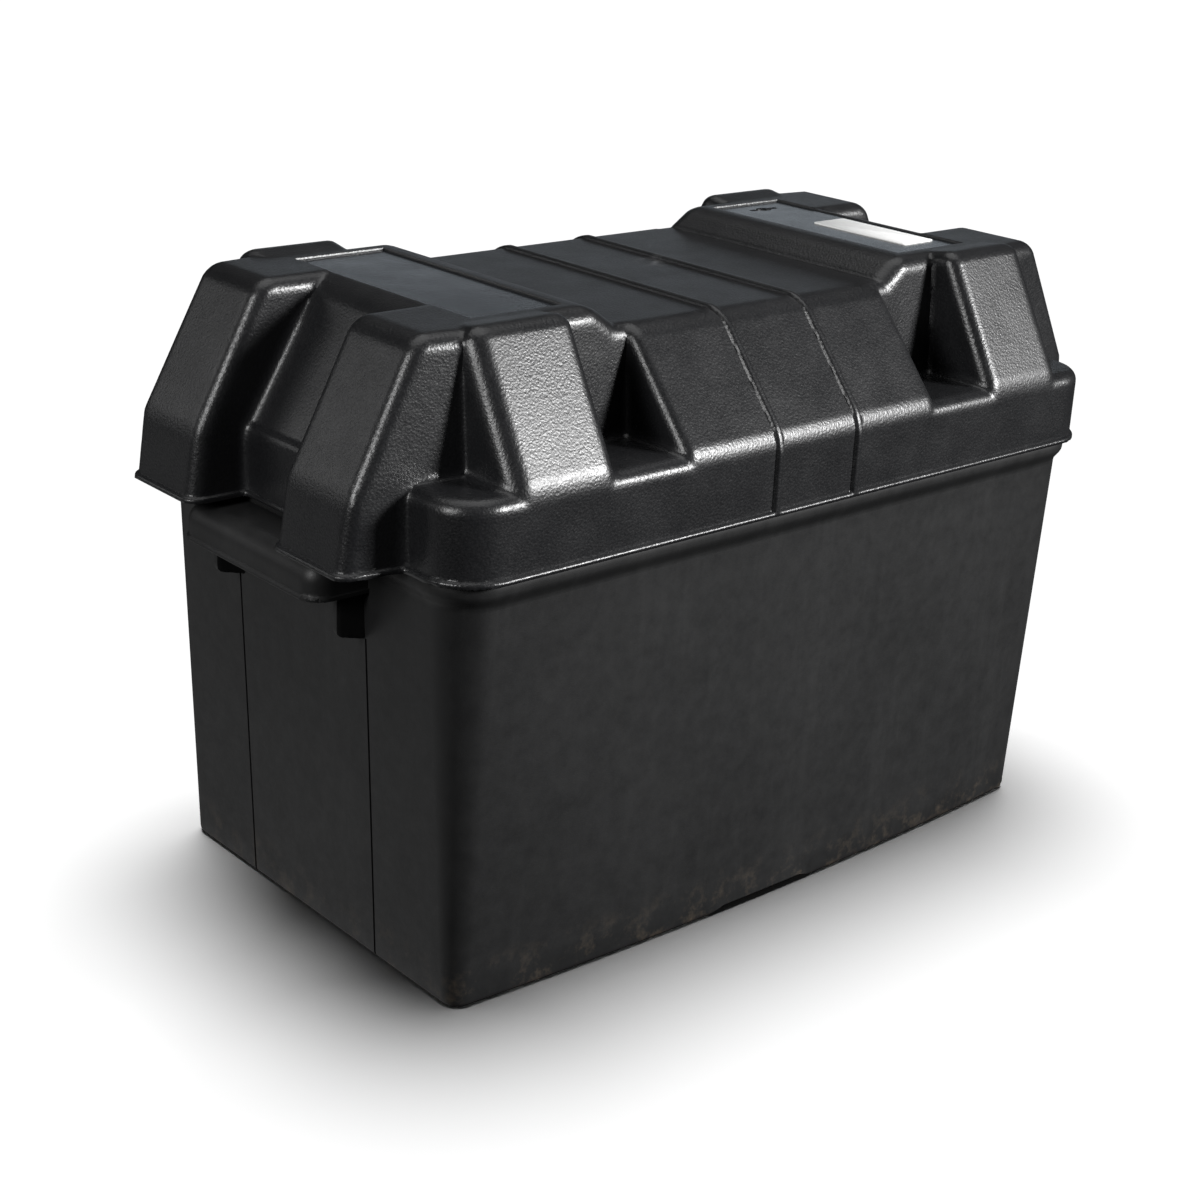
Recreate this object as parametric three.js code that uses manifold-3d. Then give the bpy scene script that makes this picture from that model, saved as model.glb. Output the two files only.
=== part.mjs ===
// Battery box: an open drafted tub with moulded end handles, a lift-off lid with a raised
// tower at each end, and a blank adhesive label on one tower.
// Millimetres, +Z up. The origin is on the surface that the tub stands on, midway along
// and across the box. X runs along the box and Y across it; the lid mirrors in both.

import * as THREE from 'three';
import { ConvexGeometry } from 'three/addons/geometries/ConvexGeometry.js';
import { mergeVertices } from 'three/addons/utils/BufferGeometryUtils.js';
import Module from 'manifold-3d';

const wasm = await Module();
wasm.setup();

// ---------------------------------------------------------------- driving dimensions

// Tub, measured outside.
const TUB_FOOT_LENGTH = 328.5;   // along X at the underside
const TUB_FOOT_WIDTH = 187;      // along Y at the underside, at the corners
const TUB_DRAFT = 6.5;           // how far each wall leans out between underside and rim
const TUB_SIDE_BOW = 5.6;        // how far the long walls bow out at the underside
const TUB_FOOT_RADIUS = 8;       // upright corners at the underside
const TUB_NECK_RADIUS = 18;      // upright corners at the rim
const TUB_WALL = 2.8;
const TUB_FLOOR = 3.2;
const RIM_HEIGHT = 173;          // underside of the lid's rim
const COLLAR_HEIGHT = 10;        // thickened band that the lid's rim stands on
const COLLAR_DEPTH = 2.9;        // how far the band stands out from the wall
const COLLAR_FLARE = 6;          // height of its sloping lower edge
const FIT_GAP = 0.3;             // clearance between pieces that rest on each other

// Strap channel moulded into the underside, in line with the lid's guide ribs.
const CHANNEL_MIDDLE = -6;       // along X
const CHANNEL_HALF_WIDTH = 22;
const CHANNEL_DEPTH = 3;
const CHANNEL_RAMP = 10;

// Handle ledge at each end of the tub. Drops are measured down from the rim.
const LEDGE_REACH = 23.5;        // out from the end wall
const LEDGE_HALF_WIDTH = 45.5;
const LEDGE_CORNER = 9;
const LEDGE_TOP_DROP = 3;
const LEDGE_FRONT_DROP = 10;     // where the rounded top meets the front face
const LEDGE_LIP_DROP = 18;       // lower edge of the front face
const LEDGE_WALL = 3;
const GUSSET_INSET = 2.9;        // outer face of each gusset, in from the ledge's side
const GUSSET_REACH = 11;
const GUSSET_DROP = 37;          // down to the gusset's foot
const GUSSET_SLOPE = 3;          // how much its foot rises outwards

// Lid, measured outside. Rises are measured up from the rim.
const LID_WALL = 2.8;
const NECK_CLEARANCE_X = 0.95;   // between the tub's neck and the inside of the skirt
const NECK_CLEARANCE_Y = 1.7;
const NECK_CLEARANCE_Z = 2.7;    // between the neck and the lid's lowest ceiling
const SKIRT_RADIUS_GROWTH = 2;   // the skirt's corner radius, more than the neck's
const SHELF_RISE = 31;           // top of the skirt and floor of the pockets
const LIP_OUT = 1.5;             // small flange round the rim
const LIP_HEIGHT = 2.2;
const CENTRE_RISE = 73;          // the lower middle panel, between the pockets
const TOWER_RISE = 81.5;         // flat middle of each tower's top
const SHOULDER_RISE = 84;        // raised outer edges of each tower's top
const RECESS_KNEE_RISE = 27.5;   // where the end face turns upright
const LEG_KNEE_RISE = 27;        // where a leg's outer face turns steeper
const RIB_FROM_MIDDLE = 22;      // strap guide ribs
const RIB_THICKNESS = 3;
const RIB_RISE = 1.5;

// Distances in from the skirt's end face, or out from it, along X.
const CENTRE_END_INSET = 105;
const TOWER_FOOT_INSET = 102.5;  // where a tower's inner slope meets the middle panel
const TOWER_TOP_INSET = 90.5;    // and where it reaches the top
const SIDE_PANEL_INSET = 71.5;   // long-side panel of a tower, nearest the middle
const SIDE_PANEL_TOP_INSET = 24.5;
const SIDE_PANEL_FOOT_INSET = 24;
const RECESS_TOP_INSET = 33.5;   // end face between the legs, at the top
const RECESS_KNEE_INSET = 1.5;
const LEG_TOP_INSET = 7.5;       // a leg's outer face at the top
const LEG_KNEE_REACH = 21;
const LEG_FOOT_REACH = 25;

// Distances in from the skirt's long sides, along Y.
const CENTRE_TOP_INSET = 36.5;
const SPINE_TOP_INSET = 38.5;    // back walls of the pockets
const SPINE_FOOT_INSET = 34.5;
const SHOULDER_INSET = 29.5;
const LEG_TOP_SIDE_INSET = 35.5;
const LEG_FOOT_SIDE_INSET = 30;
const LEG_INNER = 28;            // half the gap between the two legs at an end

// Shallow panel on each tower top, and the label in it.
const PANEL_FOOT_INSET = 82.5;   // its inner edge, in from the skirt's end face
const PANEL_END_INSET = 40.5;
const PANEL_SIDE_INSET = 48.5;   // in from the skirt's long sides
const PANEL_DEPTH = 1;
const LABEL_LENGTH = 54;         // along Y
const LABEL_WIDTH = 19.5;        // along X
const LABEL_THICKNESS = 0.5;
const LABEL_END_MARGIN = 4.55;   // from the panel's outer end
const LABEL_SIDE_MARGIN = 12.3;  // from the panel's side

const CORNER_STEPS = 8;
const BOW_STEPS = 8;
const BELOW_RIM = 1;             // how far cutting solids run past the rim
const ABOVE_TOP = 1;             // and past the top

// ---------------------------------------------------------------- values that follow

const TUB_RIM_LENGTH = TUB_FOOT_LENGTH + 2 * TUB_DRAFT;
const TUB_RIM_WIDTH = TUB_FOOT_WIDTH + 2 * TUB_DRAFT;
const END_WALL = TUB_RIM_LENGTH / 2;
const COLLAR_TOP = RIM_HEIGHT - FIT_GAP;
const COLLAR_FOOT = COLLAR_TOP - COLLAR_HEIGHT;

const LEDGE_TOP = RIM_HEIGHT - LEDGE_TOP_DROP;
const LEDGE_FRONT_TOP = RIM_HEIGHT - LEDGE_FRONT_DROP;
const LEDGE_LIP = RIM_HEIGHT - LEDGE_LIP_DROP;
const GUSSET_FROM_MIDDLE = LEDGE_HALF_WIDTH - GUSSET_INSET;
const GUSSET_FOOT = RIM_HEIGHT - GUSSET_DROP;

const SKIRT_HALF_LENGTH = END_WALL + NECK_CLEARANCE_X + LID_WALL;
const SKIRT_HALF_WIDTH = TUB_RIM_WIDTH / 2 + NECK_CLEARANCE_Y + LID_WALL;
const SKIRT_RADIUS = TUB_NECK_RADIUS + SKIRT_RADIUS_GROWTH;
const LID_HALF_LENGTH = SKIRT_HALF_LENGTH + LEG_FOOT_REACH + LIP_OUT;

const SHELF_HEIGHT = RIM_HEIGHT + SHELF_RISE;
const CENTRE_HEIGHT = RIM_HEIGHT + CENTRE_RISE;
const TOWER_HEIGHT = RIM_HEIGHT + TOWER_RISE;
const SHOULDER_HEIGHT = RIM_HEIGHT + SHOULDER_RISE;
const RECESS_KNEE_HEIGHT = RIM_HEIGHT + RECESS_KNEE_RISE;
const LEG_KNEE_HEIGHT = RIM_HEIGHT + LEG_KNEE_RISE;
const NECK_TOP = RECESS_KNEE_HEIGHT - LID_WALL - NECK_CLEARANCE_Z;

const CENTRE_END = SKIRT_HALF_LENGTH - CENTRE_END_INSET;
const TOWER_FOOT = SKIRT_HALF_LENGTH - TOWER_FOOT_INSET;
const TOWER_TOP = SKIRT_HALF_LENGTH - TOWER_TOP_INSET;
const SIDE_PANEL_INNER = SKIRT_HALF_LENGTH - SIDE_PANEL_INSET;
const SIDE_PANEL_OUTER_TOP = SKIRT_HALF_LENGTH - SIDE_PANEL_TOP_INSET;
const SIDE_PANEL_OUTER_FOOT = SKIRT_HALF_LENGTH - SIDE_PANEL_FOOT_INSET;
const RECESS_TOP = SKIRT_HALF_LENGTH - RECESS_TOP_INSET;
const RECESS_KNEE = SKIRT_HALF_LENGTH - RECESS_KNEE_INSET;
const LEG_TOP = SKIRT_HALF_LENGTH - LEG_TOP_INSET;
const LEG_KNEE = SKIRT_HALF_LENGTH + LEG_KNEE_REACH;
const LEG_FOOT = SKIRT_HALF_LENGTH + LEG_FOOT_REACH;

const CENTRE_TOP_HALF_WIDTH = SKIRT_HALF_WIDTH - CENTRE_TOP_INSET;
const SPINE_TOP_HALF_WIDTH = SKIRT_HALF_WIDTH - SPINE_TOP_INSET;
const SPINE_FOOT_HALF_WIDTH = SKIRT_HALF_WIDTH - SPINE_FOOT_INSET;
const SHOULDER_HALF_WIDTH = SKIRT_HALF_WIDTH - SHOULDER_INSET;
const LEG_TOP_HALF_WIDTH = SKIRT_HALF_WIDTH - LEG_TOP_SIDE_INSET;
const LEG_FOOT_HALF_WIDTH = SKIRT_HALF_WIDTH - LEG_FOOT_SIDE_INSET;

const PANEL_INNER = SKIRT_HALF_LENGTH - PANEL_FOOT_INSET;
const PANEL_OUTER = SKIRT_HALF_LENGTH - PANEL_END_INSET;
const PANEL_HALF_WIDTH = SKIRT_HALF_WIDTH - PANEL_SIDE_INSET;

// ---------------------------------------------------------------- solids

function solid(geometry) {
  const plain = geometry.index ? geometry.toNonIndexed() : geometry.clone();
  plain.deleteAttribute('normal');
  plain.deleteAttribute('uv');
  const merged = mergeVertices(plain, 1e-4);
  return new wasm.Manifold(new wasm.Mesh({
    numProp: 3,
    vertProperties: new Float32Array(merged.attributes.position.array),
    triVerts: new Uint32Array(merged.index.array),
  }));
}

function geometryOf(body) {
  const mesh = body.getMesh();
  const geometry = new THREE.BufferGeometry();
  geometry.setAttribute('position', new THREE.BufferAttribute(mesh.vertProperties, 3));
  geometry.setIndex(new THREE.BufferAttribute(mesh.triVerts, 1));
  geometry.computeVertexNormals();
  return geometry;
}

const union = (bodies) => bodies.reduce((whole, body) => whole.add(body));

const hull = (points) => solid(new ConvexGeometry(points.map((p) => new THREE.Vector3(...p))));

function box(low, high) {
  const size = low.map((value, axis) => high[axis] - value);
  const middle = low.map((value, axis) => (high[axis] + value) / 2);
  return solid(new THREE.BoxGeometry(...size).translate(...middle));
}

// Rounded rectangle centred on the origin, its long sides bowed out by `bow`.
function roundedOutline(halfX, halfY, radius, bow = 0) {
  const x = halfX - radius;
  const y = halfY - radius;
  const corner = (centreX, centreY, turn) => new THREE.EllipseCurve(
    centreX, centreY, radius, radius, turn, turn + Math.PI / 2,
  ).getPoints(CORNER_STEPS);
  const longSide = (side) => new THREE.QuadraticBezierCurve(
    new THREE.Vector2(side * x, side * halfY),
    new THREE.Vector2(0, side * (halfY + 2 * bow)),
    new THREE.Vector2(-side * x, side * halfY),
  ).getPoints(BOW_STEPS).slice(1, -1);
  return [
    ...corner(x, y, 0), ...longSide(1), ...corner(-x, y, Math.PI / 2),
    ...corner(-x, -y, Math.PI), ...longSide(-1), ...corner(x, -y, 1.5 * Math.PI),
  ];
}

// Closed solid through a stack of outlines, each { z, outline } with as many points.
function loft(sections) {
  const count = sections[0].outline.length;
  const vertices = sections.flatMap(({ z, outline }) => outline.flatMap((p) => [p.x, p.y, z]));
  const faces = [];
  for (let ring = 0; ring < sections.length - 1; ring++) {
    for (let i = 0; i < count; i++) {
      const low = ring * count + i;
      const lowNext = ring * count + (i + 1) % count;
      faces.push(low, lowNext, lowNext + count, low, lowNext + count, low + count);
    }
  }
  const top = (sections.length - 1) * count;
  for (const [a, b, c] of THREE.ShapeUtils.triangulateShape(sections[0].outline, [])) {
    faces.push(a, c, b);
  }
  for (const [a, b, c] of THREE.ShapeUtils.triangulateShape(sections.at(-1).outline, [])) {
    faces.push(top + a, top + b, top + c);
  }
  const geometry = new THREE.BufferGeometry();
  geometry.setAttribute('position', new THREE.Float32BufferAttribute(vertices, 3));
  geometry.setIndex(faces);
  return solid(geometry);
}

// A profile of [x, z] points stretched along Y between two values.
function alongY(profile, from, to) {
  const shape = new THREE.Shape(profile.map(([x, z]) => new THREE.Vector2(x, z)));
  const geometry = new THREE.ExtrudeGeometry(shape, { depth: to - from, bevelEnabled: false });
  geometry.rotateX(Math.PI / 2);
  geometry.translate(0, to, 0);
  return solid(geometry);
}

const bothEnds = (make) => union([make(-1), make(1)]);
const fourCorners = (make) => bothEnds((end) => union([make(end, -1), make(end, 1)]));

// ---------------------------------------------------------------- tub

// Section of the tub wall at height z, `inset` inside its outer face.
function tubSection(z, inset) {
  const share = Math.min(z / RIM_HEIGHT, 1);
  const radius = THREE.MathUtils.lerp(TUB_FOOT_RADIUS, TUB_NECK_RADIUS, share);
  return {
    z,
    outline: roundedOutline(
      TUB_FOOT_LENGTH / 2 + TUB_DRAFT * share - inset,
      TUB_FOOT_WIDTH / 2 + TUB_DRAFT * share - inset,
      Math.max(radius - inset, 1),
      TUB_SIDE_BOW * Math.max(0, 1 - z / COLLAR_FOOT),
    ),
  };
}

function tubShell() {
  const outside = loft([
    tubSection(0, 0),
    tubSection(COLLAR_FOOT, 0),
    tubSection(COLLAR_FOOT + COLLAR_FLARE, -COLLAR_DEPTH),
    tubSection(COLLAR_TOP, -COLLAR_DEPTH),
    tubSection(COLLAR_TOP, 0),
    tubSection(NECK_TOP, 0),
  ]);
  const cavity = loft([
    tubSection(TUB_FLOOR, TUB_WALL),
    tubSection(COLLAR_FOOT, TUB_WALL),
    tubSection(NECK_TOP + ABOVE_TOP, TUB_WALL),
  ]);
  // A ramped ridge across the box: its own foot is `sunk` below height `foot`.
  const ridge = (foot, spread, sunk) => {
    const flat = CHANNEL_HALF_WIDTH + spread;
    const edge = flat + CHANNEL_RAMP;
    return alongY(
      [[-edge, foot - sunk], [edge, foot - sunk], [edge, foot], [flat, foot + CHANNEL_DEPTH],
        [-flat, foot + CHANNEL_DEPTH], [-edge, foot]].map(([x, z]) => [CHANNEL_MIDDLE + x, z]),
      -TUB_RIM_WIDTH,
      TUB_RIM_WIDTH,
    );
  };
  const channel = ridge(0, 0, 1);
  const pad = ridge(TUB_FLOOR, TUB_FLOOR, 1);
  return outside.subtract(cavity.subtract(pad)).subtract(channel);
}

// Plan of a handle ledge at the +X end, shrunk by `inset` on its free sides.
function ledgePlan(inset) {
  const root = END_WALL - TUB_WALL;
  const front = END_WALL + LEDGE_REACH - inset;
  const side = LEDGE_HALF_WIDTH - inset;
  const radius = LEDGE_CORNER - inset / 2;
  const shape = new THREE.Shape();
  shape.moveTo(root, -side);
  shape.absarc(front - radius, -side + radius, radius, -Math.PI / 2, 0);
  shape.absarc(front - radius, side - radius, radius, 0, Math.PI / 2);
  shape.lineTo(root, side);
  return shape;
}

function ledgePrism(inset, bottom, top) {
  const geometry = new THREE.ExtrudeGeometry(ledgePlan(inset), {
    depth: top - bottom,
    bevelEnabled: false,
    curveSegments: CORNER_STEPS,
  });
  return solid(geometry.translate(0, 0, bottom));
}

// Side profile of the ledge: a top that falls away to an upright front, `inset` inside.
function ledgeProfile(inset) {
  const front = END_WALL + LEDGE_REACH - inset;
  const root = END_WALL - TUB_WALL;
  const fall = LEDGE_TOP - LEDGE_FRONT_TOP;
  return [
    [root, LEDGE_LIP - BELOW_RIM],
    [front, LEDGE_LIP - BELOW_RIM],
    [front, LEDGE_FRONT_TOP - inset],
    [front - fall / 2, LEDGE_TOP - fall / 3 - inset],
    [front - 1.6 * fall, LEDGE_TOP - inset],
    [root, LEDGE_TOP - inset],
  ];
}

function handle(end) {
  const reach = LEDGE_HALF_WIDTH + 1;
  const block = ledgePrism(0, LEDGE_LIP, LEDGE_TOP)
    .intersect(alongY(ledgeProfile(0), -reach, reach));
  const hollow = ledgePrism(LEDGE_WALL, LEDGE_LIP - BELOW_RIM, LEDGE_TOP)
    .intersect(alongY(ledgeProfile(LEDGE_WALL), -reach, reach));
  const gusset = (side) => {
    const inner = side * (GUSSET_FROM_MIDDLE - LEDGE_WALL);
    const outer = side * GUSSET_FROM_MIDDLE;
    const root = END_WALL - TUB_WALL;
    const front = END_WALL + GUSSET_REACH;
    return alongY(
      [[root, GUSSET_FOOT], [front, GUSSET_FOOT + GUSSET_SLOPE], [front, LEDGE_TOP - LEDGE_WALL],
        [root, LEDGE_TOP - LEDGE_WALL]],
      Math.min(inner, outer),
      Math.max(inner, outer),
    );
  };
  const ledge = union([block.subtract(hollow), gusset(-1), gusset(1)]);
  return end > 0 ? ledge : ledge.rotate([0, 0, 180]);
}

function tubSolid() {
  const cavity = loft([
    tubSection(TUB_FLOOR + CHANNEL_DEPTH, TUB_WALL),
    tubSection(COLLAR_FOOT, TUB_WALL),
    tubSection(NECK_TOP + ABOVE_TOP, TUB_WALL),
  ]);
  return tubShell().add(bothEnds(handle).subtract(cavity));
}

// ---------------------------------------------------------------- lid

// Each form takes `t`, how far it lies inside the lid's outer surface: 0 for the outside,
// LID_WALL for the hollow, a negative value for something that stands proud.
const formFoot = (t) => (t > 0 ? RIM_HEIGHT - BELOW_RIM : RIM_HEIGHT);

function skirtForm(t, top = SHELF_HEIGHT - t) {
  const outline = roundedOutline(
    SKIRT_HALF_LENGTH - t,
    SKIRT_HALF_WIDTH - t,
    Math.max(SKIRT_RADIUS - t, 1),
  );
  const aboveRecess = bothEnds((end) => {
    const reach = [end * RECESS_TOP, end * LID_HALF_LENGTH];
    return box(
      [Math.min(...reach), -LEG_INNER - t, RECESS_KNEE_HEIGHT - t],
      [Math.max(...reach), LEG_INNER + t, TOWER_HEIGHT],
    );
  });
  return loft([{ z: formFoot(t), outline }, { z: top, outline }]).subtract(aboveRecess);
}

// Six-sided section across the box, the same along X between two values.
function bridgeForm(t, fromX, toX) {
  const top = CENTRE_HEIGHT - t;
  return hull([fromX, toX].flatMap((x) => [-1, 1].flatMap((side) => [
    [x, side * (CENTRE_TOP_HALF_WIDTH - t), top],
    [x, side * (SKIRT_HALF_WIDTH - t), SHELF_HEIGHT],
    [x, side * (SKIRT_HALF_WIDTH - t), formFoot(t)],
  ])));
}

function spineForm(t) {
  const reach = SIDE_PANEL_INNER;
  return hull([-reach, reach].flatMap((x) => [-1, 1].flatMap((side) => [
    [x, side * (SPINE_TOP_HALF_WIDTH - t), CENTRE_HEIGHT - t],
    [x, side * (SPINE_FOOT_HALF_WIDTH - t), SHELF_HEIGHT],
    [x, side * (SPINE_FOOT_HALF_WIDTH - t), formFoot(t)],
  ])));
}

function towerForm(end, t) {
  const top = TOWER_HEIGHT - t;
  return hull([-1, 1].flatMap((side) => [
    [end * (TOWER_TOP + t), side * (SPINE_TOP_HALF_WIDTH - t), top],
    [end * (RECESS_TOP - t), side * (SPINE_TOP_HALF_WIDTH - t), top],
    [end * (TOWER_FOOT + t), side * (SPINE_TOP_HALF_WIDTH - t), CENTRE_HEIGHT - t],
    [end * (TOWER_FOOT + t), side * (SPINE_FOOT_HALF_WIDTH - t), SHELF_HEIGHT],
    [end * (RECESS_KNEE - t), side * (SPINE_FOOT_HALF_WIDTH - t), RECESS_KNEE_HEIGHT],
    [end * (TOWER_FOOT + t), side * (SPINE_FOOT_HALF_WIDTH - t), formFoot(t)],
    [end * (SKIRT_HALF_LENGTH - t), side * (SPINE_FOOT_HALF_WIDTH - t), formFoot(t)],
  ]));
}

// Sloping long-side panel of a tower, from the top edge out to the skirt.
function panelForm(end, side, t) {
  const top = SHOULDER_HEIGHT - t;
  const root = side * (SPINE_TOP_HALF_WIDTH - 2 * LID_WALL);
  const topY = side * (SHOULDER_HALF_WIDTH - t);
  const footY = side * (SKIRT_HALF_WIDTH - t);
  const inner = end * (SIDE_PANEL_INNER + t);
  const outerTop = end * (SIDE_PANEL_OUTER_TOP - t);
  const outerFoot = end * (SIDE_PANEL_OUTER_FOOT - t);
  const rootTop = TOWER_HEIGHT - t;
  return hull([
    [inner, root, rootTop], [outerTop, root, rootTop], [inner, topY, top], [outerTop, topY, top],
    [inner, footY, SHELF_HEIGHT], [outerFoot, footY, SHELF_HEIGHT],
    [inner, footY, formFoot(t)], [outerFoot, footY, formFoot(t)],
    [inner, root, formFoot(t)], [outerFoot, root, formFoot(t)],
  ]);
}

function legForm(end, side, t, top = TOWER_HEIGHT - t) {
  const root = end * (RECESS_TOP - 2 * LID_WALL);
  const inner = side * (LEG_INNER + t);
  const topY = side * (LEG_TOP_HALF_WIDTH - t);
  const footY = side * (LEG_FOOT_HALF_WIDTH - t);
  const high = top > LEG_KNEE_HEIGHT ? [
    [root, inner, top], [root, topY, top],
    [end * (LEG_TOP - t), inner, top], [end * (LEG_TOP - t), topY, top],
    [root, inner, LEG_KNEE_HEIGHT], [root, footY, LEG_KNEE_HEIGHT],
    [end * (LEG_KNEE - t), inner, LEG_KNEE_HEIGHT], [end * (LEG_KNEE - t), footY, LEG_KNEE_HEIGHT],
  ] : [
    [root, inner, top], [root, footY, top],
    [end * (LEG_FOOT - t), inner, top], [end * (LEG_FOOT - t), footY, top],
  ];
  return hull([
    ...high,
    [root, inner, formFoot(t)], [root, footY, formFoot(t)],
    [end * (LEG_FOOT - t), inner, formFoot(t)], [end * (LEG_FOOT - t), footY, formFoot(t)],
  ]);
}

const lidForm = (t) => union([
  skirtForm(t),
  bridgeForm(t, -CENTRE_END + t, CENTRE_END - t),
  spineForm(t),
  bothEnds((end) => towerForm(end, t)),
  fourCorners((end, side) => panelForm(end, side, t)),
  fourCorners((end, side) => legForm(end, side, t)),
]);

const lidLip = () => union([
  skirtForm(-LIP_OUT, RIM_HEIGHT + LIP_HEIGHT),
  fourCorners((end, side) => legForm(end, side, -LIP_OUT, RIM_HEIGHT + LIP_HEIGHT)),
]);

const guideRibs = () => bothEnds((end) => {
  const middle = end * RIB_FROM_MIDDLE;
  return bridgeForm(-RIB_RISE, middle - RIB_THICKNESS / 2, middle + RIB_THICKNESS / 2);
});

const towerPanels = () => bothEnds((end) => {
  const edges = [end * PANEL_INNER, end * PANEL_OUTER];
  return box(
    [Math.min(...edges), -PANEL_HALF_WIDTH, TOWER_HEIGHT - PANEL_DEPTH],
    [Math.max(...edges), PANEL_HALF_WIDTH, SHOULDER_HEIGHT + ABOVE_TOP],
  );
});

const lidSolid = () => union([lidForm(0), lidLip(), guideRibs()])
  .subtract(lidForm(LID_WALL))
  .subtract(towerPanels());

// ---------------------------------------------------------------- label

function labelSolid() {
  const foot = TOWER_HEIGHT - PANEL_DEPTH + FIT_GAP;
  const end = PANEL_OUTER - LABEL_END_MARGIN;
  const side = LABEL_SIDE_MARGIN - PANEL_HALF_WIDTH;
  return box(
    [end - LABEL_WIDTH, side, foot],
    [end, side + LABEL_LENGTH, foot + LABEL_THICKNESS],
  );
}

// ---------------------------------------------------------------- assembly

const satinBlack = { color: 0x1c1d1e, roughness: 0.55, metalness: 0 };
const grainedBlack = { color: 0x19191b, roughness: 0.42, metalness: 0 };
const labelWhite = { color: 0xe6e6e4, roughness: 0.5, metalness: 0 };

function piece(name, body, finish) {
  const mesh = new THREE.Mesh(geometryOf(body), new THREE.MeshStandardMaterial(finish));
  mesh.name = name;
  return mesh;
}

const batteryBox = new THREE.Group();
batteryBox.name = 'battery_box';
batteryBox.add(
  piece('tub', tubSolid(), satinBlack),
  piece('lid', lidSolid(), grainedBlack),
  piece('label', labelSolid(), labelWhite),
);

export default batteryBox;
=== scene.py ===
import math

import bmesh
import bpy
import numpy as np
from mathutils import Matrix, Vector


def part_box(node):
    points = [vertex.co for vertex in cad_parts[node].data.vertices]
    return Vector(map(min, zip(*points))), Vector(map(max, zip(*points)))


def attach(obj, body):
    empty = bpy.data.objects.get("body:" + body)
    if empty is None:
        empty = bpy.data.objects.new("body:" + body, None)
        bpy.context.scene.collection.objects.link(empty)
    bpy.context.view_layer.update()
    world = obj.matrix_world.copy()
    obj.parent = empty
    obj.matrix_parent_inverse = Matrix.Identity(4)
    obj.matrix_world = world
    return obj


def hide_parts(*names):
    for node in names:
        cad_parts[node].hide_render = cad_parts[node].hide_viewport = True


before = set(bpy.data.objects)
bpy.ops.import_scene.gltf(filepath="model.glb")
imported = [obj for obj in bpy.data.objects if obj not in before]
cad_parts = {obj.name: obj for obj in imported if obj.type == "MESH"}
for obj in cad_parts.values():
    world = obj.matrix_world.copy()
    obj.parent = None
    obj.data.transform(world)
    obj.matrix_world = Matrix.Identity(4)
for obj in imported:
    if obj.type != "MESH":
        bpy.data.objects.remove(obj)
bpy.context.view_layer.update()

MM = 0.001
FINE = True


def lines(low, high, step, extra=()):
    """Grid lines from low to high, closer together in the (start, stop, step) bands of extra."""
    marks = list(np.arange(low, high + step, step))
    for start, stop, small in extra:
        marks = [m for m in marks if not start - small < m < stop + small]
        marks += list(np.arange(start, stop + small / 2, small))
    return np.array(sorted(marks))


# ---------------------------------------------------------------- signed distance shapes

def round_and(a, b, r):
    """Intersection of two distances, its edge rounded."""
    return np.minimum(-r, np.maximum(a, b)) + np.hypot(np.maximum(a + r, 0), np.maximum(b + r, 0))


def round_or(a, b, r):
    """Union of two distances, the corner between them filled with a fillet."""
    return np.maximum(r, np.minimum(a, b)) - np.hypot(np.maximum(r - a, 0), np.maximum(r - b, 0))


def slope(u, z, top, foot):
    """Distance outside the straight line from top down to foot, each (u, z)."""
    run, fall = foot[0] - top[0], top[1] - foot[1]
    length = math.hypot(run, fall)
    return ((u - top[0]) * fall + (z - top[1]) * run) / length


def rounded_box(x, y, half_x, half_y, radius):
    """Distance outside an upright rectangle with round corners."""
    qx, qy = np.abs(x) - (half_x - radius), np.abs(y) - (half_y - radius)
    outside = np.hypot(np.maximum(qx, 0), np.maximum(qy, 0))
    return outside + np.minimum(np.maximum(qx, qy), 0) - radius


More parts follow.
